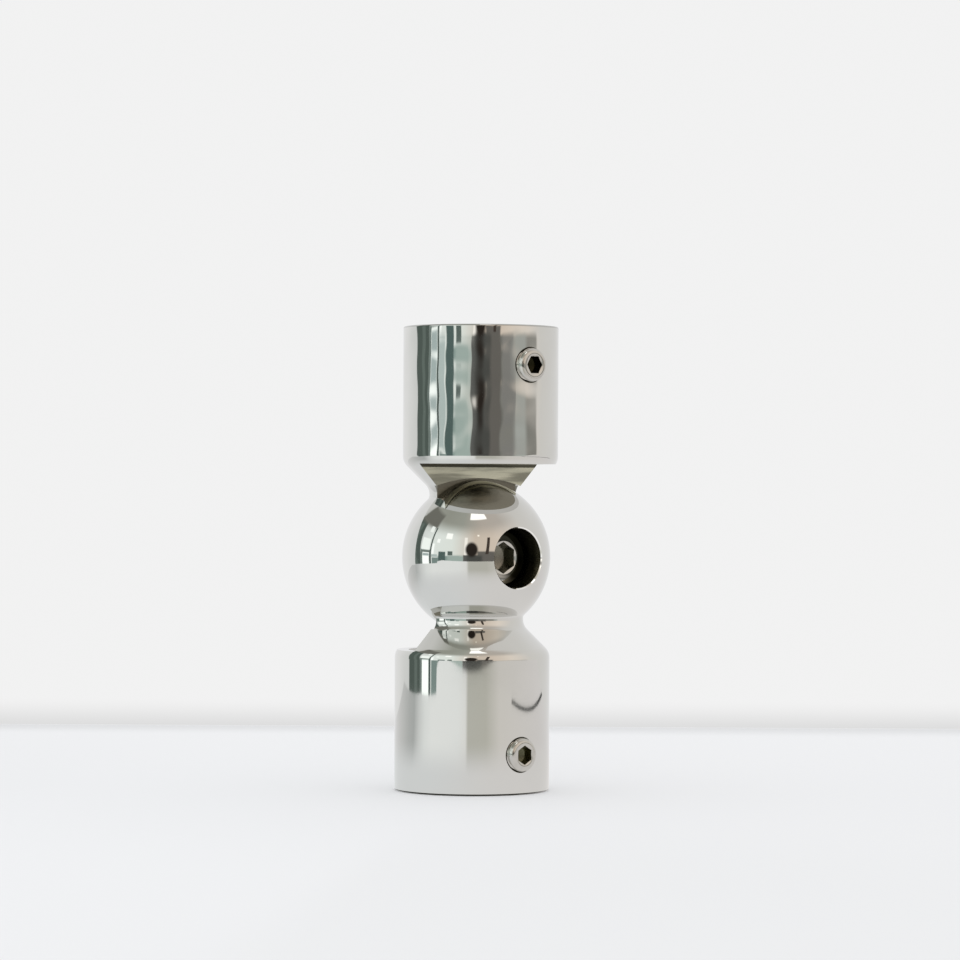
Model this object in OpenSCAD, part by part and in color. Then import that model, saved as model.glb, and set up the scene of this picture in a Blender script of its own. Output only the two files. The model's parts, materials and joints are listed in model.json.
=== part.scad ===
// Ball-knuckle tube connector: two tube sockets that swivel about one cap screw.
//
// Each half is turned from one bar (socket cup, funnel neck and ball), drilled,
// and then milled past its centre line, so that two like halves meet on a flat
// face. The cap screw passes through the lower half and threads into the upper.
//
// +Z runs up the straight connector. The origin is the centre of the lower
// socket's mouth, and the screws face -Y. All lengths are in millimetres.

/* [Tube sockets] */
// Outside diameter of the tube that each socket takes
tube_d = 22; // [18:0.1:25.4]
// Radial gap between the tube and its socket
tube_gap = 0.1; // [0.05:0.01:0.3]
// Wall of the socket cup
socket_wall = 3; // [2:0.1:4]
// Depth of the lower socket, from its mouth to its floor
lower_depth = 21.8; // [16:0.1:40]
// Depth of the upper socket, from its mouth to its floor
upper_depth = 21.2; // [16:0.1:40]
// Solid metal between the cup's shoulder and the socket floor
floor_t = 3.4; // [2:0.1:8]
// Rounding of the mouth's outer edge
mouth_round = 0.35; // [0.1:0.05:0.8]
// Lead-in chamfer at the mouth of the bore
mouth_chamfer = 0.4; // [0.1:0.05:1]
// Rounding where the cup turns into the funnel
shoulder_round = 2.6; // [0.5:0.1:3]

/* [Ball and neck] */
// Diameter of the turned ball
ball_d = 28.3; // [26:0.1:32]
// Diameter of the neck under the ball
neck_d = 18.5; // [14:0.1:19.5]
// Straight part of the neck, from the ball to the funnel
neck_len = 1.65; // [1.2:0.05:6]
// Slope of the funnel, from the axis
funnel_angle = 45; // [35:1:60]
// Hollow blend from the neck into the funnel
funnel_fillet = 2.5; // [0.5:0.1:2.8]
// Hollow blend where the neck runs into the ball
ball_fillet = 0.7; // [0.2:0.05:0.9]
// How far past its own centre line each ball is milled, down to the split face
cut_past = 1.05; // [0.7:0.05:1.6]
// How far past the centre line the neck is milled
neck_cut = 0.4; // [0:0.05:0.6]
// Diameter of the face mill that sinks the split face and leaves an arched step above it
mill_d = 70; // [50:1:100]
// Free height between a ball and that step
step_gap = 0.2; // [0.1:0.05:0.6]
// Free height between a ball and the flat milled under the other cup
ball_relief = 2.75; // [1:0.05:4]

/* [Pivot bolt] */
// Thread diameter of the socket-head cap screw
bolt_d = 6; // [4:0.5:6.5]
// Length of the screw under its head
bolt_len = 10; // [8:0.5:10.5]
// Diameter of the head
head_d = 10; // [8:0.1:11]
// Height of the head
head_h = 6; // [4:0.1:8]
// Rounding of the head's top edge
head_round = 0.5; // [0.1:0.05:1]
// Width across the flats of the head's key socket
key_af = 5; // [3:0.1:5.5]
// Depth of the head's key socket
key_depth = 3; // [2:0.1:3.5]
// Turn of the bolt about its own axis, 0 with the key socket's corners up and down
key_turn = 0; // [0:5:60]
// Metal left under the head, from the counterbore floor to the split face
seat_t = 1.8; // [1.2:0.1:3]
// Radial gap round the head in its counterbore
head_gap = 0.4; // [0.1:0.05:1]
// Radial gap round the shank in the lower half
shank_gap = 0.2; // [0.1:0.05:0.5]
// Tapped depth left beyond the end of the screw
tap_reserve = 0.8; // [0.3:0.1:1.2]
// Countersink round the tapped hole, in the split face
tap_chamfer = 0.4; // [0.1:0.05:1]
// Edge break round the counterbore's rim
rim_chamfer = 0.3; // [0.1:0.05:0.6]

/* [Set screws] */
// Thread diameter of the set screws
grub_d = 6; // [4:0.5:8]
// Length of a set screw
grub_len = 4; // [3.5:0.1:6]
// Distance of the set screws from the socket mouths
grub_from_mouth = 7.2; // [5.5:0.1:10]
// How far the lower set screw stands out of its cup
lower_proud = 1.1; // [0:0.1:1.5]
// How far the upper set screw stands out of its cup
upper_proud = 1.2; // [0:0.1:1.5]
// Width across the flats of a set screw's key socket
grub_key_af = 3; // [2:0.1:3.3]
// Depth of a set screw's key socket
grub_key_depth = 1.9; // [1:0.1:2]
// Turn of the lower set screw about its axis, 0 with its corners up and down
lower_key_turn = 0; // [0:5:60]
// Turn of the upper set screw about its axis
upper_key_turn = 30; // [0:5:60]
// Diameter of the sharp ring at a set screw's cup point
point_d = 3; // [2:0.1:3.4]

/* [Threads and drills] */
// Radial gap between a plain shank and its tapped hole
thread_gap = 0.05; // [0.02:0.01:0.1]
// Chamfer at the threaded ends of the screws
thread_chamfer = 0.6; // [0.2:0.05:0.9]
// Rounding of a set screw's face round its key socket
face_round = 0.5; // [0.1:0.05:0.8]
// Countersink of the key sockets beyond the corners of the hexagon
key_lead = 0.07; // [0.02:0.01:0.3]
// Radial step from the flats of a key socket in to its pilot hole
key_pilot = 0.1; // [0.05:0.01:0.3]
// Full point angle of the drilled holes
drill_angle = 118; // [90:1:140]

/* [Hidden] */
$fn = 96;

// Overlap of the cutting tools past the faces that they open
eps = 0.5;

bore_r = tube_d / 2 + tube_gap;
cup_r = bore_r + socket_wall;
ball_r = ball_d / 2;
neck_r = neck_d / 2;

// Heights below the ball's centre, measured along the socket's axis
neck_root = sqrt(ball_r ^ 2 - neck_r ^ 2);
funnel_top = neck_root + neck_len;
shoulder = funnel_top + (cup_r - neck_r) / tan(funnel_angle);
relief_flat = ball_r + ball_relief;
socket_floor = max(shoulder, relief_flat) + floor_t;
lower_len = socket_floor + lower_depth;
upper_len = socket_floor + upper_depth;
total_len = lower_len + upper_len;

// The screws, along the pivot axis from the split face
head_top = seat_t + head_h;
tap_depth = bolt_len - seat_t + tap_reserve;
head_pocket_r = head_d / 2 + head_gap;

// Where the halves meet: the split plane, and the upper half's own axis
split_y = -cut_past;
upper_axis_y = 2 * split_y;

// A corner of a profile: position and radius, positive rounds it and negative fills it
function unit(v) = v / norm(v);
function half_corner(a, p, b) = acos(unit(a - p) * unit(b - p)) / 2;
function tangent_point(a, p, b, r) = p + unit(a - p) * abs(r) / tan(half_corner(a, p, b));
function arc_centre(a, p, b, r) =
    p + unit(unit(a - p) + unit(b - p)) * abs(r) / sin(half_corner(a, p, b));
function point(c) = [c.x, c.y];

// Outline through corners [x, y, radius], with true arcs at the ones that have a radius
module arc_profile(corners) {
    n = len(corners);
    before = [for (i = [0:n - 1]) point(corners[(i + n - 1) % n])];
    here = [for (i = [0:n - 1]) point(corners[i])];
    after = [for (i = [0:n - 1]) point(corners[(i + 1) % n])];
    radius = [for (i = [0:n - 1]) corners[i].z];
    difference() {
        union() {
            polygon([for (i = [0:n - 1]) each radius[i] == 0 ? [here[i]] : [
                tangent_point(before[i], here[i], after[i], radius[i]),
                tangent_point(after[i], here[i], before[i], radius[i])
            ]]);
            for (i = [0:n - 1])
                if (radius[i] > 0)
                    translate(arc_centre(before[i], here[i], after[i], radius[i]))
                        circle(radius[i]);
        }
        for (i = [0:n - 1])
            if (radius[i] < 0)
                translate(arc_centre(before[i], here[i], after[i], radius[i]))
                    circle(-radius[i]);
    }
}

// Points its children, drawn along +Z, the way that the screws face
module along_minus_y() rotate([90, 0, 0]) children();

// Points its children, drawn along +Z, the opposite way
module along_plus_y() rotate([-90, 0, 0]) children();

// Height of the cone that a drill of radius r leaves
function drill_tip(r) = r / tan(drill_angle / 2);

// Cutter for a chamfer round a hole's mouth at z = 0: radius r, widening by c
module mouth_cutter(r, c) {
    translate([0, 0, -c]) cylinder(h = c + eps, r1 = r, r2 = r + c + eps);
}

// Cutter for a blind hole down from z = 0, with the drill's cone at its bottom
module drilled_hole(r, depth) {
    translate([0, 0, -depth]) {
        cylinder(h = depth + eps, r = r);
        mirror([0, 0, 1]) cylinder(h = drill_tip(r), r1 = r, r2 = 0);
    }
}

// Cutter for a key socket in a face at z = 0: hexagon, countersink and pilot drill's cone
module key_socket(af, depth) {
    corner_r = af / 2 / cos(30);
    pilot_r = af / 2 - key_pilot;
    translate([0, 0, -depth]) {
        rotate([0, 0, 30]) cylinder(h = depth + eps, r = corner_r, $fn = 6);
        mirror([0, 0, 1]) cylinder(h = drill_tip(pilot_r), r1 = pilot_r, r2 = 0);
    }
    mouth_cutter(pilot_r, corner_r + key_lead - pilot_r);
}

// The hollow blend between neck and ball, as a ring round the axis, ball centre at z = 0
module ball_blend() {
    fillet_s = sqrt((ball_r + ball_fillet) ^ 2 - (neck_r + ball_fillet) ^ 2);
    touch = ball_r / (ball_r + ball_fillet);
    rotate_extrude() difference() {
        polygon([
            [neck_r - ball_fillet, -fillet_s],
            [neck_r, -fillet_s],
            touch * [neck_r + ball_fillet, -fillet_s],
            [neck_r - ball_fillet, -touch * fillet_s]
        ]);
        translate([neck_r + ball_fillet, -fillet_s]) circle(ball_fillet);
    }
}

// The lathe's work on one half, len from its mouth at z = 0 to the centre of its ball
module turned_blank(len) {
    rotate_extrude() arc_profile([
        [0, 0, 0],
        [cup_r, 0, mouth_round],
        [cup_r, len - shoulder, shoulder_round],
        [neck_r, len - funnel_top, -funnel_fillet],
        [neck_r, len, 0],
        [0, len, 0]
    ]);
    translate([0, 0, len]) {
        sphere(ball_r);
        ball_blend();
    }
}

// One half before its screw holes, kept on the -Y side of its split face
module knuckle_half(depth) {
    len = socket_floor + depth;
    reach = cup_r + ball_r;
    mill_r = mill_d / 2;
    difference() {
        turned_blank(len);
        // Tube socket with its lead-in
        translate([0, 0, -eps]) cylinder(h = depth + eps, r = bore_r);
        mirror([0, 0, 1]) mouth_cutter(bore_r, mouth_chamfer);
        // Flat of the neck, and the flat under the cup, milled together
        translate([-reach, -neck_cut, len - relief_flat])
            cube([2 * reach, 2 * reach, relief_flat + reach]);
        // Split face, sunk with the face mill
        translate([0, -cut_past, len - ball_r - step_gap + mill_r])
            along_plus_y() cylinder(h = reach, r = mill_r);
    }
}

// Cutter for a set screw's tapped hole, through one wall of the cup, drawn along +Z
module grub_hole() cylinder(h = cup_r + eps, r = grub_d / 2 + thread_gap);

// Clearance hole, counterbore and rim break for the bolt, from the split face at z = 0
module bolt_seat_cutter() {
    rim = sqrt(ball_r ^ 2 - head_pocket_r ^ 2) - cut_past;
    translate([0, 0, -eps]) cylinder(h = seat_t + 2 * eps, r = bolt_d / 2 + shank_gap);
    translate([0, 0, seat_t]) cylinder(h = ball_r, r = head_pocket_r);
    translate([0, 0, rim]) mouth_cutter(head_pocket_r, rim_chamfer);
}

module lower_half() color("gainsboro")
    difference() {
        knuckle_half(lower_depth);
        translate([0, 0, grub_from_mouth]) along_minus_y() grub_hole();
        translate([0, -cut_past, lower_len]) along_minus_y() bolt_seat_cutter();
    }

// Turned end for end, so that both set screws end up facing the same way
module upper_half() color("lightgray")
    translate([0, upper_axis_y, total_len]) rotate([180, 0, 0]) difference() {
        knuckle_half(upper_depth);
        translate([0, 0, grub_from_mouth]) along_plus_y() grub_hole();
        translate([0, -cut_past, upper_len]) along_plus_y() {
            drilled_hole(bolt_d / 2 + thread_gap, tap_depth);
            mouth_cutter(bolt_d / 2 + thread_gap, tap_chamfer);
        }
    }

// Socket-head cap screw, its head's face at z = 0
module cap_screw() {
    difference() {
        rotate_extrude() arc_profile([
            [0, -head_h - bolt_len, 0],
            [bolt_d / 2 - thread_chamfer, -head_h - bolt_len, 0],
            [bolt_d / 2, -head_h - bolt_len + thread_chamfer, 0],
            [bolt_d / 2, -head_h, 0],
            [head_d / 2, -head_h, 0],
            [head_d / 2, 0, head_round],
            [0, 0, 0]
        ]);
        key_socket(key_af, key_depth);
    }
}

module pivot_bolt() color("silver")
    translate([0, split_y - head_top, lower_len])
        along_minus_y() rotate([0, 0, key_turn]) cap_screw();

// Cup-point set screw, its key socket's face at z = 0
module set_screw() {
    point_r = point_d / 2;
    difference() {
        rotate_extrude() arc_profile([
            [0, -grub_len + drill_tip(point_r), 0],
            [point_r, -grub_len, 0],
            [grub_d / 2, -grub_len + grub_d / 2 - point_r, 0],
            [grub_d / 2, 0, face_round],
            [0, 0, 0]
        ]);
        key_socket(grub_key_af, grub_key_depth);
    }
}

// A set screw in its cup: height up the part, y of the cup's axis, stand-out and turn
module placed_set_screw(height, axis_y, proud, turn)
    translate([0, axis_y - cup_r - proud, height])
        along_minus_y() rotate([0, 0, turn]) set_screw();

module lower_set_screw() color("silver")
    placed_set_screw(grub_from_mouth, 0, lower_proud, lower_key_turn);

module upper_set_screw() color("silver")
    placed_set_screw(total_len - grub_from_mouth, upper_axis_y, upper_proud, upper_key_turn);

lower_half();
upper_half();
pivot_bolt();
lower_set_screw();
upper_set_screw();
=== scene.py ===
"""Finishes, screws, surroundings and camera for a ball-knuckle tube connector.

Laid out as an add-on and run as a script. Lengths are in metres, in the connector's
own frame: +Z up, the lower socket's mouth at the origin, the screws facing -Y.
"""
import json
import math

import bmesh
import bpy
from bpy.props import FloatProperty, FloatVectorProperty, PointerProperty
from mathutils import Matrix, Vector


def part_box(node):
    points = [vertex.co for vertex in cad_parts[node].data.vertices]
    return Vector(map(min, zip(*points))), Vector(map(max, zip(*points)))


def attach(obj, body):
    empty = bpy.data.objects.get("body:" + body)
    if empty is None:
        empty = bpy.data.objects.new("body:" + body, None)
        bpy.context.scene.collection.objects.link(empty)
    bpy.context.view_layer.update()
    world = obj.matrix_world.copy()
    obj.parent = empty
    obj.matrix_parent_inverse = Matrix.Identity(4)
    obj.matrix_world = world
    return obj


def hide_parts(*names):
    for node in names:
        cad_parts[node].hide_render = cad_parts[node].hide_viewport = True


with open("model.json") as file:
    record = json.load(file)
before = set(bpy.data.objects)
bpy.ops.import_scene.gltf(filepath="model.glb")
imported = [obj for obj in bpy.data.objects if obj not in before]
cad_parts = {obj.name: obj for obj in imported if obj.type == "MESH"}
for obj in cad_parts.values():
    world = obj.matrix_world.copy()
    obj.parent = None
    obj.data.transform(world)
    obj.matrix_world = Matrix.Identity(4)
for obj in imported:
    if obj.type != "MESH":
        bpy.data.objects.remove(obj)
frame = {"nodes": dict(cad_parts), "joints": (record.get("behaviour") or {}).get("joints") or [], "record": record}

bl_info = {
    "name": "Ball-knuckle tube connector",
    "version": (1, 0, 0),
    "blender": (4, 5, 0),
    "location": "3D View > Sidebar > Connector",
    "description": "Finishes, screws and studio for a swivelling tube connector",
    "category": "Object",
}

MM = 0.001
PIVOT = Vector(next(j for j in frame["joints"] if j["name"] == "knuckle_pivot")["pos_m"])
MOUNTS = {m["name"]: m for m in frame["record"]["mounts"]}
BORE_R = MOUNTS["lower_socket"]["dims"]["r_mm"] * MM
UPPER_AXIS_Y = MOUNTS["upper_socket"]["pos_m"][1]
TOP_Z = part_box("upper_half")[1].z

# Sizes of the halves that neither a node's corners nor a mount gives
BALL_R = 14.15 * MM
NECK_R = 9.25 * MM
NECK_CUT = 0.4 * MM
LOWER_DEPTH = 21.8 * MM
UPPER_DEPTH = 21.2 * MM
POCKET_R = 5.4 * MM
# Heights from the pivot: where the sunk band above a ball begins, and the milled flat
# under a cup, with that flat's radius
BAND_FROM = 10 * MM
RELIEF = 16.9 * MM
RELIEF_R = 11.6 * MM

# A point counts as on a face when it is this near to it, and as inside a ball from this far
# below its surface
NEAR = 0.02 * MM
INSIDE_BALL = 0.06 * MM
# How far past its own bounds a turned or drilled face still counts, and the neck's face
TURNED_SLACK = 0.03 * MM
NECK_SLACK = 0.04 * MM

# Spacing of the turning tool's grooves in the sockets and of the rings on the screws
TURNING_PITCH = 0.18 * MM
RING_PITCH = 0.09 * MM
# Half the angle of a drill's point
DRILL_HALF_ANGLE = math.radians(59)


# ---------------------------------------------------------------- settings

class FinishSettings(bpy.types.PropertyGroup):
    """Colours, painted shade and highlights, and polish of the steel."""

    steel: FloatVectorProperty(
        name="Steel", description="Reflected colour of the polished steel",
        subtype="COLOR", size=3, default=(0.70, 0.70, 0.68))
    screw: FloatVectorProperty(
        name="Screw steel", description="Reflected colour of the screws",
        subtype="COLOR", size=3, default=(0.60, 0.59, 0.56))
    mirror_roughness: FloatProperty(
        name="Mirror roughness", description="Roughness of the polished ball",
        default=0.03, min=0, max=1, subtype="FACTOR")
    cup_roughness: FloatProperty(
        name="Cup roughness", description="Roughness of the polished cups",
        default=0.04, min=0, max=1, subtype="FACTOR")
    machined_roughness: FloatProperty(
        name="Machined roughness", description="Roughness of turned and milled faces",
        default=0.26, min=0, max=1, subtype="FACTOR")
    # Unpolished faces: duller steel of their own, darkened further as painted shade in the bores, on the split
    # faces and under the cups
    machined: FloatVectorProperty(
        name="Machined steel", description="Reflected colour of unpolished faces",
        subtype="COLOR", size=3, default=(0.17, 0.16, 0.13))
    neck: FloatVectorProperty(
        name="Neck face", description="Reflected colour of the neck's milled face",
        subtype="COLOR", size=3, default=(0.76, 0.755, 0.62))
    # Painted shade: the dark of the corner over a neck's face, the counterbore, the gaps round the set screws and
    # a cup's rim
    painted_shade: FloatVectorProperty(
        name="Painted_shade", description="Reflected colour inside the key sockets and round the screws",
        subtype="COLOR", size=3, default=(0.045, 0.043, 0.03))
    # Painted highlight along the counterbore's edge
    pocket_highlight: FloatVectorProperty(
        name="Counterbore edge", description="Reflected colour of the counterbore's bright edge",
        subtype="COLOR", size=3, default=(0.95, 0.95, 0.93))
    # Painted shadow over the pivot screw's face, outside its key socket
    face_shadow: FloatVectorProperty(
        name="Shadow", description="Reflected colour of the oiled face of the pivot's screw",
        subtype="COLOR", size=3, default=(0.012, 0.013, 0.006))
    # Painted shade: the width of the dark gap line round a set screw
    crevice: FloatProperty(
        name="Crevice", description="Width of the dark line round a set screw",
        default=0.24 * MM, min=0, unit="LENGTH")
    ripple: FloatProperty(
        name="Ripple", description="Height of the hand polishing's waves on the cups",
        default=0.24 * MM, min=0, unit="LENGTH")
    edge_roll: FloatProperty(
        name="Edge roll", description="How far the polishing wheel rounds a cup's rim off",
        default=0.05 * MM, min=0, unit="LENGTH")
    edge_roll_reach: FloatProperty(
        name="Edge roll reach", description="How far from the rim that rounding begins",
        default=2.4 * MM, min=0, unit="LENGTH")


class ScrewSettings(bpy.types.PropertyGroup):
    """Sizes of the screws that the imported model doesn't show by its corners."""

    pitch: FloatProperty(
        name="Pitch", description="Thread pitch", default=1.0 * MM, unit="LENGTH")
    thread_depth: FloatProperty(
        name="Thread depth", description="Depth of the external thread",
        default=0.613 * MM, unit="LENGTH")
    head_height: FloatProperty(
        name="Head height", description="Height of the cap screw's head",
        default=6.0 * MM, unit="LENGTH")
    head_key: FloatProperty(
        name="Head key", description="Width across flats of the cap screw's socket",
        default=5.0 * MM, unit="LENGTH")
    head_key_depth: FloatProperty(
        name="Head key depth", description="Depth of the cap screw's socket",
        default=3.0 * MM, unit="LENGTH")
    head_edge: FloatProperty(
        name="Head edge", description="Rounding of the head's top edge",
        default=0.5 * MM, unit="LENGTH")
    knurl_depth: FloatProperty(
        name="Knurl depth", description="Depth of the grooves round the head",
        default=0.16 * MM, unit="LENGTH")
    grub_key: FloatProperty(
        name="Set screw key", description="Width across flats of a set screw's socket",
        default=3.0 * MM, unit="LENGTH")
    grub_key_depth: FloatProperty(
        name="Set screw key depth", description="Depth of a set screw's socket",
        default=1.9 * MM, unit="LENGTH")
    grub_edge: FloatProperty(
        name="Set screw edge", description="Rounding of a set screw's face",
        default=0.75 * MM, unit="LENGTH")
    point: FloatProperty(
        name="Cup point", description="Diameter of the sharp ring at a set screw's tip",
        default=3.0 * MM, unit="LENGTH")


class StageSettings(bpy.types.PropertyGroup):
    """Camera and studio."""

    azimuth: FloatProperty(
        name="Azimuth", description="Camera's turn round the connector",
        subtype="ANGLE", default=math.radians(-39))
    distance: FloatProperty(
        name="Distance", description="Level distance from the pivot to the camera",
        unit="LENGTH", default=0.655)
    eye_height: FloatProperty(
        name="Eye height", description="Camera's height over the table",
        unit="LENGTH", default=0.0564)
    sideways: FloatProperty(
        name="Sideways", description="How far the camera stands to its right of the pivot",
        unit="LENGTH", default=0.6 * MM)
    roll: FloatProperty(
        name="Roll", description="Camera's turn about its own line of sight",
        subtype="ANGLE", default=math.radians(0.3))
    lens: FloatProperty(
        name="Lens", description="Focal length", unit="CAMERA", default=135)
    table_end: FloatProperty(
        name="Table end", description="Distance from the connector back to the table's far edge",
        unit="LENGTH", default=0.169)
    reflected_end: FloatProperty(
        name="Reflected end", description="The same distance for the table that the steel reflects",
        unit="LENGTH", default=0.179)
    table_colour: FloatVectorProperty(
        name="Table", description="Colour of the table", subtype="COLOR", size=3,
        default=(0.43, 0.434, 0.443))
    table_glow: FloatVectorProperty(
        name="Table glow", description="Light that the table gives back by itself",
        subtype="COLOR", size=3, default=(0.313, 0.317, 0.322))
    wall_colour: FloatVectorProperty(
        name="Backdrop", description="Light of the backdrop", subtype="COLOR", size=3,
        default=(0.885, 0.885, 0.885))
    daylight: FloatProperty(
        name="Daylight", description="Strength of the light from all round", default=1.22, min=0)
    overhead: FloatProperty(
        name="Overhead light", description="Power of the soft light over the table",
        unit="POWER", default=6)
    dome_radius: FloatProperty(
        name="Surround radius", description="Radius of the reflected surroundings",
        unit="LENGTH", default=3.0)


# ---------------------------------------------------------------- shader helpers

class Value:
    """A number socket that takes part in Python arithmetic."""

    def __init__(self, shader, socket):
        self.shader, self.socket = shader, socket

    def math(self, operation, *others, first=None):
        terms = [self, *others] if first is None else [first, self, *others]
        made = self.shader.node("ShaderNodeMath", {"operation": operation}, dict(enumerate(terms)))
        return Value(self.shader, made.outputs[0])

    def __add__(self, other):
        return self.math("ADD", other)

    def __radd__(self, other):
        return self.math("ADD", first=other)

    def __sub__(self, other):
        return self.math("SUBTRACT", other)

    def __rsub__(self, other):
        return self.math("SUBTRACT", first=other)

    def __mul__(self, other):
        return self.math("MULTIPLY", other)

    def __rmul__(self, other):
        return self.math("MULTIPLY", first=other)

    def __truediv__(self, other):
        return self.math("DIVIDE", other)

    def __rtruediv__(self, other):
        return self.math("DIVIDE", first=other)

    def __abs__(self):
        return self.math("ABSOLUTE")

    def __lt__(self, other):
        return self.math("LESS_THAN", other)

    def __gt__(self, other):
        return self.math("GREATER_THAN", other)

    def root(self):
        return self.math("SQRT")

    def wave(self):
        return self.math("SINE")

    def ramp(self, low, high, out_low=0.0, out_high=1.0):
        """Smooth step from out_low at low to out_high at high."""
        made = self.shader.node(
            "ShaderNodeMapRange", {"interpolation_type": "SMOOTHSTEP"},
            {0: self, 1: low, 2: high, 3: out_low, 4: out_high})
        return Value(self.shader, made.outputs[0])


class Shader:
    """A node tree that is filled by short calls."""

    def __init__(self, owner):
        owner.use_nodes = True
        self.tree = owner.node_tree
        self.tree.nodes.clear()

    def node(self, kind, settings=None, sockets=None):
        """Adds a node: settings first, then the values or links of its sockets."""
        made = self.tree.nodes.new(kind)
        for name, value in (settings or {}).items():
            if name == "stops":
                self._stops(made.color_ramp, value)
            else:
                setattr(made, name, value)
        for name, value in (sockets or {}).items():
            socket = made.inputs[name]
            source = getattr(value, "socket", value)
            if isinstance(source, bpy.types.NodeSocket):
                self.tree.links.new(source, socket)
            else:
                socket.default_value = source
        return made

    @staticmethod
    def _stops(ramp, stops):
        ramp.elements.remove(ramp.elements[1])
        ramp.elements[0].position, ramp.elements[0].color = stops[0]
        for at, colour in stops[1:]:
            ramp.elements.new(at).color = colour

    def place(self, centre=(0, 0, 0)):
        """Object coordinates from a centre: the vector and its three values."""
        coords = self.node("ShaderNodeTexCoord").outputs["Object"]
        moved = self.node("ShaderNodeMapping", {"vector_type": "POINT"},
                          {"Vector": coords, "Location": [-c for c in centre]})
        parts = self.node("ShaderNodeSeparateXYZ", sockets={0: moved.outputs[0]})
        return moved.outputs[0], *[Value(self, s) for s in parts.outputs]

    def noise(self, vector, scale, detail=2.0, stretch=(1, 1, 1)):
        """Cloudy noise from 0 to 1, scale in cells per metre."""
        stretched = self.node("ShaderNodeVectorMath", {"operation": "MULTIPLY"},
                              {0: vector, 1: stretch}).outputs[0]
        made = self.node("ShaderNodeTexNoise", sockets={
            "Vector": stretched, "Scale": scale, "Detail": detail})
        return Value(self, made.outputs[0])

    def blend(self, factor, first, second):
        """Mixes two colours."""
        made = self.node("ShaderNodeMix", {"data_type": "RGBA"},
                         {"Factor": factor, 6: first, 7: second})
        return made.outputs[2]

    def bump(self, height, distance=1.0):
        """Normal from a height, which is in metres where distance is 1."""
        made = self.node("ShaderNodeBump", sockets={
            "Strength": 1.0, "Distance": distance, "Height": height})
        return made.outputs[0]

    def surface(self, kind, sockets, target="ShaderNodeOutputMaterial"):
        """Adds the shader that the output shows."""
        shader = self.node(kind, sockets=sockets)
        self.node(target, sockets={"Surface": shader.outputs[0]})


def rgba(colour, gain=1.0):
    """A colour, lightened or darkened, as a colour socket takes it."""
    return (*[c * gain for c in colour], 1.0)


# ---------------------------------------------------------------- materials

def largest(first, *others):
    """The strongest of some masks."""
    for other in others:
        first = first.math("MAXIMUM", other)
    return first


class HalfFaces:
    """One half's faces as masks from 0 to 1, and the distances that its finish follows.

    axis_y is the socket's axis, mouth_z its rim and inward +1 or -1 along Z into it.
    neck_y is the neck's milled face and screw the node in the cup's tapped hole.
    """

    # Stretch past the socket's floor where the cup's polish gives way to the ball's
    shoulder = (2.0 * MM, 4.0 * MM)
    # How far the socket's turned face goes past its depth
    floor_slack = 0.2 * MM
    # Height of the painted shade line round a cup's rim, and of the painted shade in the corner over the neck's
    # face
    rim_height = 0.33 * MM
    corner_height = 0.6 * MM
    # How far the sunk band goes on past the relief, and how much narrower than the neck it is
    band_past = 0.6 * MM
    band_margin = 0.1 * MM
    # The counterbore's painted highlight along its edge: its middle, out from the wall, and half its width
    edge_middle = 0.13 * MM
    edge_half = 0.11 * MM

    def __init__(self, shader, axis_y, mouth_z, inward, socket_depth, neck_y, screw):
        low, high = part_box(screw)
        self.vector, x, y, z = shader.place((0, axis_y, 0))
        radius = (x * x + y * y).root()
        from_pivot = abs(z - PIVOT.z)
        bolt_radius = (x * x + (z - PIVOT.z) * (z - PIVOT.z)).root()
        screw_z = z - (low.z + high.z) / 2
        self.height = z - PIVOT.z
        self.depth = (z - mouth_z) * inward
        self.ball_distance = (bolt_radius * bolt_radius + y * y).root()
        self.screw_r = (high.z - low.z) / 2
        self.screw_radius = (x * x + screw_z * screw_z).root()
        self.front = y < 0
        self.tapped_side = y < -BORE_R

        self.cup = self.depth.ramp(*[socket_depth + past for past in self.shoulder], 1.0, 0.0)
        self.rim_line = self.depth < self.rim_height
        self.under_cup = (abs(from_pivot - RELIEF) < TURNED_SLACK) * (radius < RELIEF_R)
        self.on_neck = ((abs(y - (neck_y - axis_y)) < NEAR)
                        * (from_pivot < RELIEF + NECK_SLACK))
        self.in_corner = self.on_neck * (from_pivot > RELIEF - self.corner_height)
        inside_ball = self.ball_distance < BALL_R - INSIDE_BALL
        self.in_pocket = (bolt_radius < POCKET_R + NEAR) * inside_ball
        past_wall = bolt_radius - POCKET_R
        self.pocket_highlight = (abs(past_wall - self.edge_middle) < self.edge_half) * self.front

        in_socket = ((radius < BORE_R + TURNED_SLACK)
                     * (self.depth < socket_depth + self.floor_slack))
        above_ball = ((from_pivot > BAND_FROM) * (from_pivot < RELIEF + self.band_past)
                      * (abs(x) < NECK_R - self.band_margin))
        split = PIVOT.y - axis_y
        on_split = (abs(y - split) < NEAR) * largest(inside_ball, above_ball)
        self.machined = largest(in_socket, on_split, self.under_cup)


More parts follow.
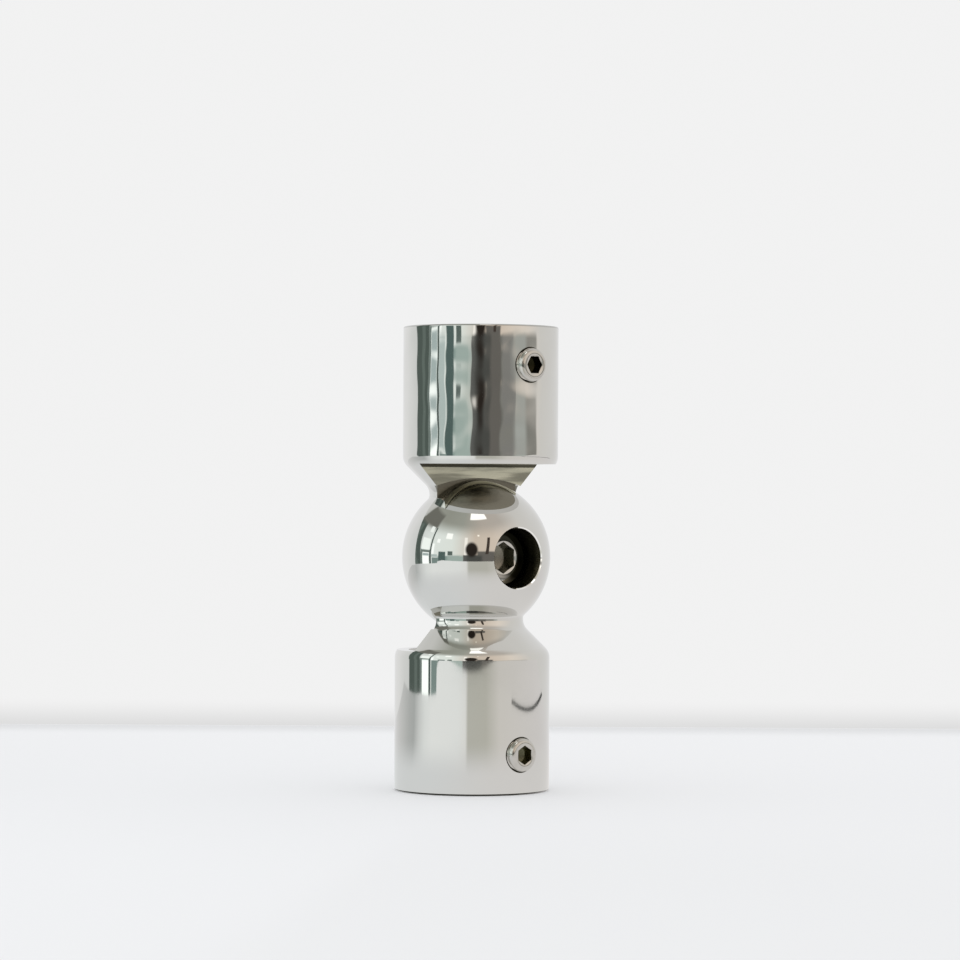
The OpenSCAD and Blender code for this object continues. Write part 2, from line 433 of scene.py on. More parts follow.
def half_colour(shader, finish, faces, smudge, in_crevice, wear):
    """Polished steel, its milled faces one after another, and the painted shade and highlight."""
    worn = [c * 0.93 for c in finish.steel]
    colour = shader.blend(smudge * 0.5, rgba(finish.steel), rgba(worn))
    bands = shader.noise(faces.vector, 700, 3, (0.08, 1, 1)).ramp(0.38, 0.62)
    neck_tone = shader.blend(bands, rgba(finish.neck), rgba(finish.neck, 0.46))
    # Painted shade in the counterbore, with painted light near its mouth low down
    lit_lip = (faces.ball_distance.ramp(BALL_R - 2.0 * MM, BALL_R)
           * faces.height.ramp(-4 * MM, 2 * MM, 1, 0.1))
    pocket_shade = shader.blend(lit_lip, rgba(finish.painted_shade, 2.2), rgba(finish.painted_shade, 7.0))
    # One after another: the neck's milled bands, painted shade in the corner above the neck's face, the machined
    # faces' colour with painted shade (lighter under the cups), a painted highlight along the counterbore's edge,
    # painted shade in the counterbore, round the set screws and along a cup's rim, fainter where the polish is
    # worn
    for mask, tone in (
            (faces.on_neck, neck_tone),
            (faces.in_corner * 0.9, rgba(finish.painted_shade)),
            (faces.machined, rgba(finish.machined)),
            (faces.under_cup, rgba(finish.machined, 1.7)),
            (faces.pocket_highlight, rgba(finish.pocket_highlight)),
            (faces.in_pocket, pocket_shade),
            (in_crevice, rgba(finish.painted_shade)),
            (faces.rim_line * (1.0 - wear * 0.75), rgba(finish.painted_shade, 0.5))):
        colour = shader.blend(mask, colour, tone)
    return colour


def half_relief(shader, finish, faces, tool, wear):
    """Height in metres of the waves, rolled edge, dimple and tool marks."""
    waves = (shader.noise(faces.vector, 130, 1, (1, 1, 0.85)) * (faces.cup * 0.97 + 0.03)
             * (finish.ripple * wear))
    rolled = (1 - faces.depth / finish.edge_roll_reach).math("MAXIMUM", 0.0)
    roll = rolled * rolled * (-finish.edge_roll * wear)
    dimple = faces.screw_radius.ramp(
        faces.screw_r, faces.screw_r + 3.2 * MM, -0.04 * MM * wear, 0) * faces.front
    milling = shader.noise(faces.vector, 380, 2, (0.15, 1, 1)) * faces.on_neck * (0.04 * MM)
    marks = tool * faces.machined * (0.002 * MM)
    return waves + roll + dimple + milling + marks


def polished_steel(name, wear, **places):
    """Polished outside, turned marks in the socket, milled marks on the flats.

    wear says how much of the hand polishing shows, from 0 to 1, and places says where
    the half's faces lie.
    """
    finish = bpy.context.scene.connector_finish
    material = bpy.data.materials.new(name)
    shader = Shader(material)
    faces = HalfFaces(shader, **places)
    # Painted shade in the gap round the set screw, on the tapped side
    in_crevice = (faces.screw_radius < faces.screw_r + finish.crevice) * faces.tapped_side
    smudge = shader.noise(faces.vector, 90, 3).ramp(0.45, 0.75)
    streak = shader.noise(faces.vector, 260, 3, (1, 1, 5)).ramp(0.40, 0.80)
    tool = (faces.depth * (2 * math.pi / TURNING_PITCH)).wave() * 0.5 + 0.5

    cup_roughness = (finish.cup_roughness - finish.mirror_roughness) * wear
    polished = (finish.mirror_roughness + faces.cup * cup_roughness
                + smudge * 0.012 + streak * 0.008)
    unpolished = finish.machined_roughness + streak * 0.06 + tool * 0.04
    dull = largest(faces.machined, faces.in_pocket, in_crevice)
    roughness = polished + faces.on_neck * 0.16 + dull * (unpolished - polished)

    shader.surface("ShaderNodeBsdfPrincipled", {
        "Base Color": half_colour(shader, finish, faces, smudge, in_crevice, wear),
        "Metallic": 1.0, "Roughness": roughness,
        "Normal": shader.bump(half_relief(shader, finish, faces, tool, wear))})
    return material


# Painted light and shade on the floor and the walls of each screw's key socket, set for each screw apart
KEY_LIGHT_AND_SHADE = {
    "pivot_bolt": ((0.52, 0.50, 0.44), (0.15, 0.155, 0.115)),
    "lower_set_screw": ((0.26, 0.26, 0.175), (0.13, 0.12, 0.06)),
    "upper_set_screw": ((0.04, 0.037, 0.02), (0.06, 0.055, 0.035)),
}


def screw_steel(name, node, key, key_depth, turn, shaded=0.0):
    """Bright steel with fine rings round the screw's own axis, and painted shade in its key socket.

    key is the key socket's width across flats and turn its turn about the screw's axis,
    and shaded says how dark the painted shadow on the face outside the key socket goes, from 0 to 1.
    """
    finish = bpy.context.scene.connector_finish
    floor, walls = KEY_LIGHT_AND_SHADE[node]
    low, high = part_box(node)
    material = bpy.data.materials.new(name)
    shader = Shader(material)
    vector, x, y, z = shader.place((0, low.y, (low.z + high.z) / 2))
    radius = (x * x + z * z).root()
    ring = (radius * (2 * math.pi / RING_PITCH)).wave() * 0.5 + 0.5
    stain = shader.noise(vector, 900, 4).ramp(0.35, 0.75)
    across = largest(*[
        abs(x * math.cos(turn + side) + z * math.sin(turn + side))
        for side in (0, math.pi / 3, 2 * math.pi / 3)])
    in_key = (across < key / 2 + NEAR) * (y > NEAR)
    on_floor = in_key * (y > key_depth - TURNED_SLACK)
    colour = shader.blend(stain * 0.35, rgba(finish.screw), rgba(finish.screw, 0.78))
    # Painted shadow on the face outside the key socket, lit only towards its lower left
    if shaded:
        on_face = radius > corner_radius(key) + 0.13 * MM
        shadow_fade = (z * 0.9 + x * 0.45).ramp(-4.4 * MM, -1.8 * MM, 0, shaded)
        colour = shader.blend(on_face * shadow_fade, colour, rgba(finish.face_shadow))
    # Painted light and shade in the key socket: its walls, then its floor
    colour = shader.blend(in_key, colour, rgba(walls))
    colour = shader.blend(on_floor, colour, rgba(floor))
    grain = shader.noise(vector, 5200, 2)
    shader.surface("ShaderNodeBsdfPrincipled", {
        "Base Color": colour, "Metallic": 1.0,
        "Roughness": 0.05 + stain * 0.05 + ring * 0.02 + in_key * 0.22,
        "Normal": shader.bump(grain * 0.5 + ring * 0.5, 0.0006 * MM)})
    return material


# ---------------------------------------------------------------- mesh helpers

def extrude_ring(bm, edges, place):
    """Draws a ring of edges out to place(angle) = (radius, height); returns the new ring."""
    made = bmesh.ops.extrude_edge_only(bm, edges=edges)["geom"]
    for vert in [g for g in made if isinstance(g, bmesh.types.BMVert)]:
        angle = math.atan2(vert.co.y, vert.co.x)
        radius, height = place(angle)
        vert.co = (radius * math.cos(angle), radius * math.sin(angle), height)
    return [g for g in made if isinstance(g, bmesh.types.BMEdge)]


def circle(radius, height):
    """A round place for extrude_ring."""
    return lambda angle: (radius, height)


def hexagon_radius(flats, angle):
    """Radius of a hexagon at an angle, flats at 0, 60, 120 degrees and so on."""
    off = (angle + math.pi / 6) % (math.pi / 3) - math.pi / 6
    return flats / 2 / math.cos(off)


def corner_radius(flats):
    """Radius of a hexagon at its corners."""
    return flats / 2 / math.cos(math.pi / 6)


def round_edge(bm, edges, radius, rounding, steps=6):
    """Rounds the edge from a wall of that radius onto the face at height 0."""
    for step in range(1, steps + 1):
        turn = math.pi / 2 * step / steps
        edges = extrude_ring(bm, edges, circle(
            radius - rounding * (1 - math.cos(turn)), -rounding * (1 - math.sin(turn))))
    return edges


def key_pocket(bm, edges, flats, depth, lead=0.07 * MM, slope=0.3):
    """Closes a face ring with a hexagon socket: countersink, walls, drill cone."""
    mouth = corner_radius(flats) + lead
    edges = extrude_ring(bm, edges, circle(mouth, 0))
    edges = extrude_ring(bm, edges, lambda a: (
        hexagon_radius(flats, a), (hexagon_radius(flats, a) - mouth) * slope))
    edges = extrude_ring(bm, edges, lambda a: (hexagon_radius(flats, a), -depth))
    pilot = flats / 2 - 0.1 * MM
    edges = extrude_ring(bm, edges, circle(pilot, -depth))
    close_pole(bm, edges, -depth - pilot / math.tan(DRILL_HALF_ANGLE))


def close_pole(bm, edges, height):
    """Draws a ring in to one point on the axis."""
    tip = extrude_ring(bm, edges, circle(0, height))
    bmesh.ops.remove_doubles(bm, verts=list({v for e in tip for v in e.verts}), dist=1e-7)


def thread_wall(bm, low, high, major, depth, pitch, steps):
    """Helical 60 degree thread between two heights; returns its low and high rings."""
    turns = math.ceil((high - low) / pitch) + 2
    start = low - 1.5 * pitch
    crest, root = major, major - depth
    profile = []
    for turn in range(turns):
        base = start + turn * pitch
        profile += [(crest, base), (crest, base + pitch / 8),
                    (root, base + pitch * 7 / 16), (root, base + pitch * 11 / 16)]
    profile.append((crest, start + turns * pitch))
    verts = [bm.verts.new((radius, 0, height)) for radius, height in profile]
    edges = [bm.edges.new(pair) for pair in zip(verts, verts[1:])]
    bmesh.ops.spin(bm, geom=verts + edges, cent=(0, 0, 0), axis=(0, 0, 1),
                   dvec=(0, 0, pitch / steps), angle=2 * math.pi, steps=steps)
    bmesh.ops.remove_doubles(bm, verts=bm.verts, dist=1e-6)
    for height, outer in ((low, False), (high, True)):
        bmesh.ops.bisect_plane(
            bm, geom=bm.verts[:] + bm.edges[:] + bm.faces[:], dist=1e-8,
            plane_co=(0, 0, height), plane_no=(0, 0, 1), clear_outer=outer, clear_inner=not outer)
    rims = [e for e in bm.edges if e.is_boundary]
    middle = (low + high) / 2
    return ([e for e in rims if e.verts[0].co.z < middle],
            [e for e in rims if e.verts[0].co.z > middle])


def finish_screw(bm, name, face_y, centre_z, turn):
    """Turns a finished screw from +Z to face -Y, places it and makes its object."""
    bmesh.ops.recalc_face_normals(bm, faces=bm.faces)
    for edge in bm.edges:
        edge.smooth = len(edge.link_faces) == 2 and edge.calc_face_angle(0) < math.radians(32)
    for face in bm.faces:
        face.smooth = True
    place = (Matrix.Translation((0, face_y, centre_z)) @ Matrix.Rotation(math.pi / 2, 4, "X")
             @ Matrix.Rotation(turn, 4, "Z"))
    bmesh.ops.transform(bm, matrix=place, verts=bm.verts)
    mesh = bpy.data.meshes.new(name)
    bm.to_mesh(mesh)
    bm.free()
    piece = bpy.data.objects.new(name, mesh)
    bpy.context.scene.collection.objects.link(piece)
    return piece


def cap_screw(name, node):
    """Socket-head cap screw in the place of a CAD node: knurled head, hexagon, thread."""
    sizes = bpy.context.scene.connector_screws
    low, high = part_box(node)
    head_r = (high.x - low.x) / 2
    thread_r = 3.0 * MM
    shank_r = thread_r - 0.05 * MM
    point_r = thread_r - 0.64 * MM
    steps, groove = 144, 3
    seat = -sizes.head_height
    end = low.y - high.y

    def knurled(height):
        def place(angle):
            tooth = round(angle / (2 * math.pi) * steps) % groove
            return head_r - sizes.knurl_depth * (tooth == 0), height
        return place

    bm = bmesh.new()
    tip, rim = thread_wall(bm, end + 0.6 * MM, seat - 0.7 * MM, thread_r,
                           sizes.thread_depth, sizes.pitch, steps)
    tip = extrude_ring(bm, tip, circle(point_r, end))
    close_pole(bm, tip, end)
    for place in (circle(shank_r, seat - 0.4 * MM), circle(shank_r, seat),
                  circle(head_r - 0.35 * MM, seat), knurled(seat + 0.35 * MM),
                  knurled(-1.1 * MM), circle(head_r, -0.95 * MM)):
        rim = extrude_ring(bm, rim, place)
    rim = round_edge(bm, rim, head_r, sizes.head_edge)
    key_pocket(bm, rim, sizes.head_key, sizes.head_key_depth)
    return finish_screw(bm, name, low.y, (low.z + high.z) / 2, 0)


def set_screw(name, node, turn):
    """Cup-point set screw in the place of a CAD node."""
    sizes = bpy.context.scene.connector_screws
    low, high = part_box(node)
    radius = (high.z - low.z) / 2
    length = high.y - low.y
    point_r = sizes.point / 2
    cone_r = radius - sizes.thread_depth - 0.1 * MM
    shoulder = -length + radius - point_r
    steps = 96
    bm = bmesh.new()
    tip, rim = thread_wall(bm, shoulder - 0.35 * MM, -sizes.grub_edge - 0.12 * MM, radius,
                           sizes.thread_depth, sizes.pitch, steps)
    tip = extrude_ring(bm, tip, circle(cone_r, -length + cone_r - point_r))
    tip = extrude_ring(bm, tip, circle(point_r, -length))
    close_pole(bm, tip, -length + point_r / math.tan(DRILL_HALF_ANGLE))
    rim = extrude_ring(bm, rim, circle(radius, -sizes.grub_edge))
    rim = round_edge(bm, rim, radius, sizes.grub_edge)
    key_pocket(bm, rim, sizes.grub_key, sizes.grub_key_depth)
    return finish_screw(bm, name, low.y, (low.z + high.z) / 2, turn)


# ---------------------------------------------------------------- operators for the part

class CONNECTOR_OT_polish_halves(bpy.types.Operator):
    """Gives both halves their mirror polish and machined faces"""

    bl_idname = "connector.polish_halves"
    bl_label = "Polish the halves"

    def execute(self, context):
        finishes = {
            "lower_half": polished_steel(
                "polished_lower", wear=0.02, axis_y=0, mouth_z=0, inward=1,
                socket_depth=LOWER_DEPTH, neck_y=-NECK_CUT, screw="lower_set_screw"),
            "upper_half": polished_steel(
                "polished_upper", wear=1.0, axis_y=UPPER_AXIS_Y, mouth_z=TOP_Z, inward=-1,
                socket_depth=UPPER_DEPTH, neck_y=UPPER_AXIS_Y + NECK_CUT,
                screw="upper_set_screw"),
        }
        for node, material in finishes.items():
            frame["nodes"][node].data.materials.clear()
            frame["nodes"][node].data.materials.append(material)
        return {"FINISHED"}


class CONNECTOR_OT_pivot_bolt(bpy.types.Operator):
    """Builds the pivot's socket-head cap screw"""

    bl_idname = "connector.pivot_bolt"
    bl_label = "Build the pivot bolt"

    def execute(self, context):
        piece = cap_screw("pivot_cap_screw", "pivot_bolt")
        sizes = context.scene.connector_screws
        piece.data.materials.append(screw_steel(
            "bolt_steel", "pivot_bolt", sizes.head_key, sizes.head_key_depth, 0, shaded=0.97))
        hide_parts("pivot_bolt")
        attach(piece, "bolt")
        return {"FINISHED"}


class CONNECTOR_OT_set_screws(bpy.types.Operator):
    """Builds the set screws that clamp the tubes"""

    bl_idname = "connector.set_screws"
    bl_label = "Build the set screws"

    def execute(self, context):
        sizes = context.scene.connector_screws
        for side, turn in (("lower", 0), ("upper", math.radians(30))):
            node = side + "_set_screw"
            piece = set_screw(side + "_cup_point_screw", node, turn)
            piece.data.materials.append(screw_steel(
                side + "_screw_steel", node, sizes.grub_key, sizes.grub_key_depth, turn))
            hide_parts(node)
            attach(piece, side + "_screw")
        return {"FINISHED"}


# ---------------------------------------------------------------- stage

# Light of the room's walls and ceiling by azimuth. Azimuth is measured in degrees at the
# pivot from the camera's side, + to its right.
WALL = [(-180, (0.84, 0.84, 0.85)), (-140, (0.92, 0.92, 0.92)), (-106, (0.80, 0.82, 0.81)),
        (-66, (1.02, 1.09, 1.05)), (-32, (1.00, 1.06, 1.01)), (-14, (0.90, 0.87, 0.80)),
        (4, (0.80, 0.69, 0.58)), (32, (0.84, 0.72, 0.61)), (62, (0.96, 0.86, 0.76)),
        (100, (0.80, 0.78, 0.75)), (180, (0.84, 0.84, 0.85))]
CEILING = [(-180, (0.80, 0.80, 0.79)), (-120, (0.72, 0.72, 0.70)), (-95, (0.40, 0.41, 0.36)),
           (-60, (0.38, 0.39, 0.34)), (-20, (0.42, 0.43, 0.38)), (20, (0.58, 0.52, 0.46)),
           (60, (0.60, 0.55, 0.50)), (100, (0.76, 0.74, 0.71)), (180, (0.80, 0.80, 0.79))]
# The table's light by azimuth near its far edge, with the room's reflection in it painted on
TABLE = [(-180, (0.84, 0.84, 0.85)), (-160, (0.85, 0.85, 0.86)), (-134, (0.74, 0.74, 0.74)),
         (-117, (0.65, 0.66, 0.655)), (-104, (0.56, 0.575, 0.57)), (-93, (0.52, 0.54, 0.535)),
         (-83, (0.76, 0.78, 0.775)), (-72, (0.93, 0.96, 0.95)), (-60, (1.00, 1.02, 1.01)),
         (-20, (0.98, 1.00, 0.99)), (-9, (0.94, 0.94, 0.92)), (-6, (0.60, 0.595, 0.54)),
         (20, (0.60, 0.59, 0.53)), (40, (0.78, 0.75, 0.71)), (110, (0.82, 0.79, 0.78)),
         (180, (0.84, 0.84, 0.85))]

# Things in the room: two azimuths, two elevations, softness, lean with height, all in
# degrees, and emitted colour
ROOM = [
    ("dark_column", -108, -83, -12, 38, 2.0, -0.20, (0.105, 0.135, 0.12)),
    ("column_light", -96, -90, -12, 34, 2.5, -0.20, (0.16, 0.20, 0.18)),
    ("lintel", -104, -60, 36, 55, 6.0, -0.15, (0.20, 0.20, 0.175)),
    ("window_high", -72, -65, 30, 37, 0.8, -0.15, (1.20, 1.26, 1.22)),
    ("column_foot", -108, -98, -1, 3.5, 1.5, 0.0, (0.11, 0.14, 0.125)),
    ("window_frame", -84, -65, -12, 9, 0.8, 0.0, (0.22, 0.27, 0.25)),
    ("window_low", -80, -68, -12, 5.5, 0.8, 0.0, (1.42, 1.50, 1.46)),
    ("window_shade", -79.5, -68.5, 1.55, 4.5, 1.2, 0.0, (0.50, 0.60, 0.59)),
    ("window_mid", -82, -67, 8.5, 22, 1.5, -0.10, (1.25, 1.32, 1.28)),
    ("window_edge", -66.8, -64.3, -12, 37, 0.6, 0.0, (0.09, 0.12, 0.11)),
    ("bench_side", -63, -51, -12, -0.5, 0.8, 0.0, (0.26, 0.34, 0.32)),
    ("low_panel", -64, -54, 0.3, 3.6, 1.0, 0.0, (0.58, 0.68, 0.66)),
    ("bright_wall", -64, -60, 4, 17, 2.0, 0.0, (1.38, 1.44, 1.41)),
    ("bench", -53, -19, -12, 1.8, 2.0, 0.0, (0.32, 0.42, 0.39)),
    ("bench_light", -38, -13, -12, 2.6, 5.0, 0.0, (0.46, 0.56, 0.52)),
    ("cabinet_left", -52, -41, -12, 7.5, 1.5, 0.0, (0.11, 0.165, 0.155)),
    ("cabinet_right", -37.5, -30, 2.8, 8.5, 1.0, 0.0, (0.14, 0.18, 0.165)),
    ("lamp_far", -57, -52, 19, 24, 0.8, 0.0, (1.36, 1.40, 1.37)),
    ("lamp_near", -43.5, -33, 25.5, 33.5, 1.5, 0.0, (1.42, 1.44, 1.40)),
    ("doorway", -12.5, -8, 3, 29, 1.2, 0.0, (1.25, 1.20, 1.12)),
    ("low_shade", -14, 35, -12, 3.4, 2.0, 0.0, (0.14, 0.143, 0.135)),
    ("chairs", 7, 31, -12, 9, 3.0, 0.0, (0.17, 0.16, 0.145)),
    ("camera_stand", -9, 14, -12, 3, 6.0, 0.0, (0.09, 0.092, 0.085)),
    ("post", 17.5, 22, 5, 29, 1.0, 0.22, (0.07, 0.055, 0.045)),
    ("sofa", 31, 90, -12, 3.0, 5.0, 0.0, (0.28, 0.275, 0.25)),
    ("sideboard", 34, 50, 0.3, 3.6, 3.0, 0.0, (0.27, 0.265, 0.25)),
    ("sofa_light", 50, 69, -12, 3.0, 9.0, 0.0, (0.50, 0.52, 0.49)),
    ("small_lamp", 8, 11, 31, 33.5, 0.6, 0.0, (1.40, 1.30, 1.15)),
    ("ceiling_lamp", -6, 34, 57, 79, 2.5, 0.0, (1.60, 1.58, 1.52)),
]

# The round dark flag by the camera: its middle and half sizes, in degrees
FLAG_AZIMUTH = -1.5
FLAG_LIFT = 11.5
FLAG_HALF_WIDTH = 9.5
FLAG_HALF_HEIGHT = 11

# Left and near edge of the table that the steel reflects: each point's distance to the
# right of the pivot and toward the camera, in metres
REFLECTED_EDGE = [(-0.315, 0.05), (-0.255, 0.19), (-0.36, 0.27), (-0.45, 0.43), (2.5, 0.43)]
# How far the real table reaches to each side and toward the camera, in metres, and the
# height of the painted shade strip at its far edge
TABLE_REACH = 4.0
EDGE_HEIGHT = 8 * MM


def new_object(name, bm):
    """Makes a stage object of a bmesh."""
    mesh = bpy.data.meshes.new(name)
    bm.to_mesh(mesh)
    bm.free()
    made = bpy.data.objects.new(name, mesh)
    bpy.context.scene.collection.objects.link(made)
    return made


def hide_from(thing, *rays):
    """Hides a thing from some kinds of rays, by the names that Blender gives them."""
    for ray in rays:
        setattr(thing, "visible_" + ray, False)


def only_reflected(thing):
    """The polished steel sees it, the camera and the lighting don't."""
    hide_from(thing, "camera", "diffuse", "shadow", "transmission")


def only_seen(thing):
    """Only the camera sees it."""
    hide_from(thing, "glossy", "diffuse", "shadow", "transmission")


def level_axes():
    """Level directions from the pivot to the camera and to the camera's right."""
    azimuth = bpy.context.scene.connector_stage.azimuth
    return (Vector((math.sin(azimuth), -math.cos(azimuth), 0)),
            Vector((math.cos(azimuth), math.sin(azimuth), 0)))


def spot(rightward, toward, height=0.0):
    """A place so far from the pivot to the camera's right and toward it."""
    back, right = level_axes()
    return Vector((PIVOT.x, PIVOT.y, height)) + right * rightward + back * toward


def by_azimuth(shader, azimuth, stops):
    """A colour that runs through stops of (degrees, colour) round the pivot."""
    made = shader.node("ShaderNodeValToRGB", {
        "stops": [((at + 180) / 360, rgba(colour)) for at, colour in stops]},
        {0: azimuth / 360 + 0.5})
    return made.outputs[0]


def around_pivot(shader):
    """Azimuth and elevation of the shaded point from the pivot, in degrees, and its
    level distance."""
    back, right = level_axes()
    _, x, y, z = shader.place(PIVOT)
    side = x * right.x + y * right.y
    toward = x * back.x + y * back.y
    level = (x * x + y * y).root()
    turn = side.math("ARCTAN2", toward) * math.degrees(1)
    lift = z.math("ARCTAN2", level) * math.degrees(1)
    return turn, lift, level


def inside(value, low, high, soft):
    """Soft-edged mask of a span."""
    soft = soft / 2
    return value.ramp(low - soft, low + soft) * value.ramp(high - soft, high + soft, 1, 0)


def glow(shader, material, colour):
    """Makes a material give light that doesn't count as a lamp."""
    shader.surface("ShaderNodeEmission", {"Color": colour, "Strength": 1.0})
    material.cycles.emission_sampling = "NONE"


def room_glow():
    """The room that the steel reflects: walls, ceiling, windows, lamps and furniture."""
    material = bpy.data.materials.new("room_glow")
    shader = Shader(material)
    turn, lift, _ = around_pivot(shader)
    colour = shader.blend(lift.ramp(26, 50), by_azimuth(shader, turn, WALL),
                          by_azimuth(shader, turn, CEILING))
    for _, az_from, az_to, el_from, el_to, soft, lean, tone in ROOM:
        upright = turn - lift * lean
        mask = inside(upright, az_from, az_to, soft) * inside(lift, el_from, el_to, soft)
        colour = shader.blend(mask, colour, rgba(tone))
    across = (turn - FLAG_AZIMUTH) / FLAG_HALF_WIDTH
    up = (lift - FLAG_LIFT) / FLAG_HALF_HEIGHT
    flag = (across * across + up * up).root().ramp(0.75, 1.2, 1.0, 0.0)
    glow(shader, material, shader.blend(flag, colour, rgba((0.03, 0.024, 0.02))))
    return material


def table_glow():
    """The table that the steel reflects, with the room's reflection painted on as streaks near its far edge."""
    material = bpy.data.materials.new("table_glow")
    shader = Shader(material)
    turn, _, level = around_pivot(shader)
    streaked = by_azimuth(shader, turn, TABLE)
    plain = shader.blend(turn.ramp(-60, 40), rgba((0.84, 0.86, 0.87)), rgba((0.84, 0.82, 0.81)))
    glow(shader, material, shader.blend(level.ramp(50 * MM, 150 * MM), plain, streaked))
    return material


def table_white():
    """Plain pale table, with painted shade that darkens it softly over the last 30 mm to its far edge."""
    stage = bpy.context.scene.connector_stage
    back, _ = level_axes()
    material = bpy.data.materials.new("table_white")
    shader = Shader(material)
    vector, x, y, _ = shader.place(PIVOT)
    # Painted shade along the table's far edge
    far = (x * back.x + y * back.y).ramp(-stage.table_end, 30 * MM - stage.table_end, 1, 0)
    mottle = shader.noise(vector, 6, 3) * 0.1
    tint = shader.blend(mottle, rgba(stage.table_colour), rgba(stage.table_colour, 0.9))
    lit = shader.blend(far, rgba(stage.table_glow), rgba(stage.table_glow, 0.85))
    shader.surface("ShaderNodeBsdfPrincipled", {
        "Base Color": shader.blend(far, tint, rgba(stage.table_colour, 0.85)),
        "Roughness": 0.7, "Specular IOR Level": 0.1,
        "Emission Color": lit, "Emission Strength": 1.0})
    return material


def backdrop_white():
    """Even light of the backdrop."""
    stage = bpy.context.scene.connector_stage
    material = bpy.data.materials.new("backdrop_white")
    glow(Shader(material), material, rgba(stage.wall_colour))
    return material


def edge_shade():
    """Painted shade: a soft grey that fades out upward, where the backdrop meets the table."""
    material = bpy.data.materials.new("edge_shade")
    shader = Shader(material)
    _, _, _, z = shader.place()
    shader.surface("ShaderNodeBsdfPrincipled", {
        "Base Color": rgba((0, 0, 0)), "Roughness": 1.0, "Specular IOR Level": 0.0,
        "Emission Color": rgba((0.70, 0.70, 0.70)), "Emission Strength": 1.0,
        "Alpha": z.ramp(-2.0 * MM, 6.5 * MM, 1.0, 0.0)})
    material.cycles.emission_sampling = "NONE"
    return material


def add_sheet(name, corners, material):
    """A flat sheet: its far left, far right, near left and near right corners."""
    bm = bmesh.new()
    bmesh.ops.create_grid(bm, x_segments=1, y_segments=1, size=1)
    for vert, corner in zip(bm.verts, corners):
        vert.co = corner
    made = new_object(name, bm)
    made.data.materials.append(material)
    return made


def level_sheet(name, left, right, near, far, height, material):
    """A sheet at one height, its sides counted from the pivot as spot does."""
    return add_sheet(name, [spot(left, far, height), spot(right, far, height),
                            spot(left, near, height), spot(right, near, height)], material)


def surround(name, radius, material):
    """A sphere round the pivot, seen from inside."""
    bm = bmesh.new()
    bmesh.ops.create_uvsphere(bm, u_segments=96, v_segments=48, radius=radius,
                              matrix=Matrix.Translation(PIVOT))
    bmesh.ops.reverse_faces(bm, faces=bm.faces)
    made = new_object(name, bm)
    made.data.materials.append(material)
    return made


def lay_table():
    """The table that the camera sees, and the painted shade where the backdrop meets it."""
    stage = bpy.context.scene.connector_stage
    far = -stage.table_end
    table = level_sheet("table", -TABLE_REACH, TABLE_REACH, TABLE_REACH, far, -0.05 * MM,
                        table_white())
    hide_from(table, "glossy")
    only_seen(add_sheet("table_edge", [
        spot(-TABLE_REACH, far), spot(TABLE_REACH, far),
        spot(-TABLE_REACH, far, EDGE_HEIGHT), spot(TABLE_REACH, far, EDGE_HEIGHT)],
        edge_shade()))


def lay_reflected_table():
    """The table that only the steel sees, with a dark strip on it."""
    far = -bpy.context.scene.connector_stage.reflected_end
    bm = bmesh.new()
    outline = [(REFLECTED_EDGE[0][0], far), *REFLECTED_EDGE, (REFLECTED_EDGE[-1][0], far)]
    bmesh.ops.contextual_create(bm, geom=[bm.verts.new(spot(*corner)) for corner in outline])
    bmesh.ops.recalc_face_normals(bm, faces=bm.faces)
    table = new_object("reflected_table", bm)
    table.data.materials.append(table_glow())
    only_reflected(table)
    strip = bpy.data.materials.new("strip_grey")
    glow(Shader(strip), strip, rgba((0.06, 0.064, 0.06)))
    only_reflected(level_sheet("reflected_strip", 0.240, 0.258, 0.145, far, 0.2 * MM, strip))


def set_lights(scene, stage):
    """Even light from all round and a soft lamp over the table."""
    scene.world = bpy.data.worlds.new("soft_light")
    Shader(scene.world).surface(
        "ShaderNodeBackground", {"Color": rgba((1, 1, 1)), "Strength": stage.daylight},
        "ShaderNodeOutputWorld")
    light = bpy.data.lights.new("overhead", "AREA")
    light.size = 3.0
    light.energy = stage.overhead
    lamp = bpy.data.objects.new("overhead", light)
    lamp.location = spot(-0.5, 0.5, 2.5)
    hide_from(lamp, "glossy", "camera")
    scene.collection.objects.link(lamp)


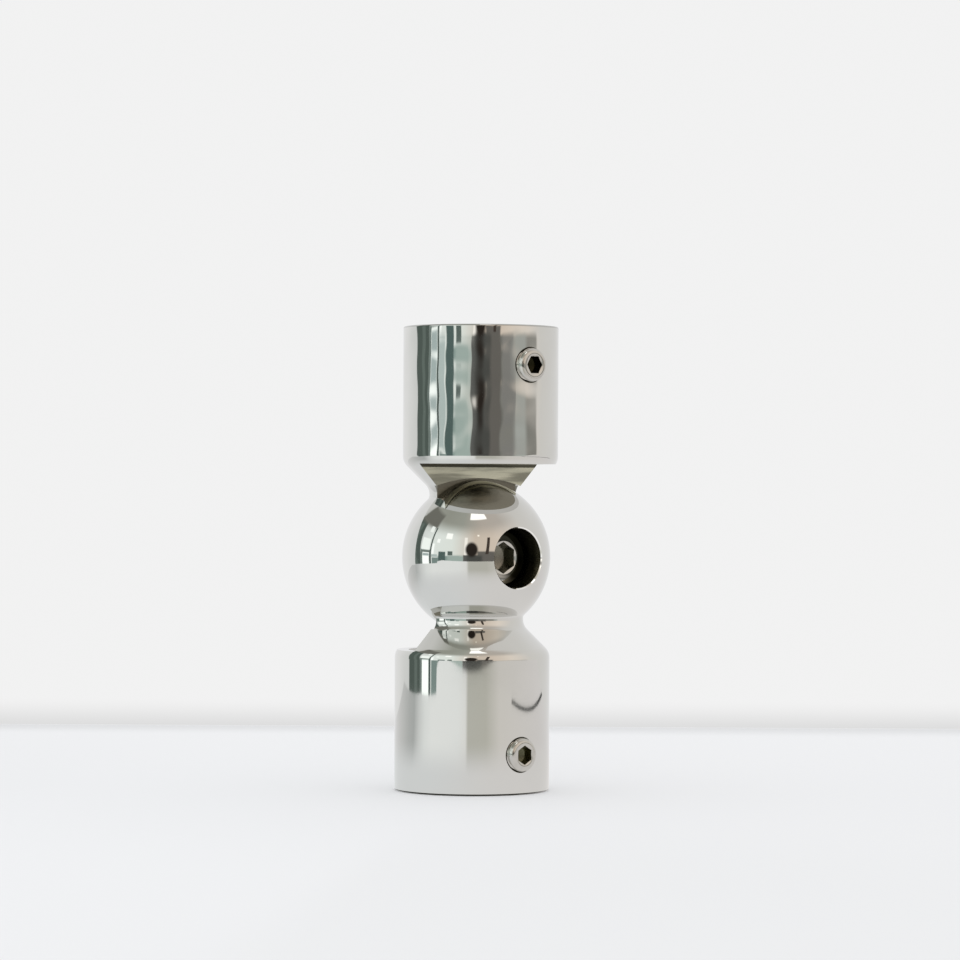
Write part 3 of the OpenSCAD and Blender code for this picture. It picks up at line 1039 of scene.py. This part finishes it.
def set_camera(scene, stage):
    """A level camera, a little turned about its own line of sight."""
    back, _ = level_axes()
    eye = bpy.data.cameras.new("camera")
    eye.lens = stage.lens
    eye.sensor_width = 36
    eye.clip_end = 50
    camera = bpy.data.objects.new("camera", eye)
    aim = (-back).to_track_quat("-Z", "Y").to_matrix().to_4x4()
    place = spot(stage.sideways, stage.distance, stage.eye_height)
    camera.matrix_world = (Matrix.Translation(place) @ aim
                           @ Matrix.Rotation(stage.roll, 4, "Z"))
    scene.collection.objects.link(camera)
    scene.camera = camera


class CONNECTOR_OT_stage(bpy.types.Operator):
    """Sets the table, backdrop, reflected surroundings, lights and camera"""

    bl_idname = "connector.stage"
    bl_label = "Set the stage"

    def execute(self, context):
        scene = context.scene
        stage = scene.connector_stage
        lay_table()
        only_seen(surround("backdrop", stage.dome_radius * 1.3, backdrop_white()))
        lay_reflected_table()
        only_reflected(surround("room", stage.dome_radius, room_glow()))
        set_lights(scene, stage)
        set_camera(scene, stage)
        scene.view_settings.view_transform = "Standard"
        return {"FINISHED"}


# ---------------------------------------------------------------- panel and registration

STEPS = (CONNECTOR_OT_polish_halves, CONNECTOR_OT_pivot_bolt, CONNECTOR_OT_set_screws,
         CONNECTOR_OT_stage)


class CONNECTOR_PT_sidebar(bpy.types.Panel):
    """Lists the steps that dress the connector"""

    bl_idname = "CONNECTOR_PT_sidebar"
    bl_label = "Tube connector"
    bl_space_type = "VIEW_3D"
    bl_region_type = "UI"
    bl_category = "Connector"

    def draw(self, context):
        for step in STEPS:
            self.layout.operator(step.bl_idname)


SETTINGS = {
    "connector_finish": FinishSettings,
    "connector_screws": ScrewSettings,
    "connector_stage": StageSettings,
}


def register():
    for cls in (*SETTINGS.values(), *STEPS, CONNECTOR_PT_sidebar):
        bpy.utils.register_class(cls)
    for name, group in SETTINGS.items():
        setattr(bpy.types.Scene, name, PointerProperty(type=group))


def unregister():
    for name in SETTINGS:
        delattr(bpy.types.Scene, name)
    for cls in reversed((*SETTINGS.values(), *STEPS, CONNECTOR_PT_sidebar)):
        bpy.utils.unregister_class(cls)


def main():
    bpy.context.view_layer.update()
    register()
    for step in STEPS:
        group, operator = step.bl_idname.split(".")
        getattr(getattr(bpy.ops, group), operator)()


if __name__ == "__main__":
    main()
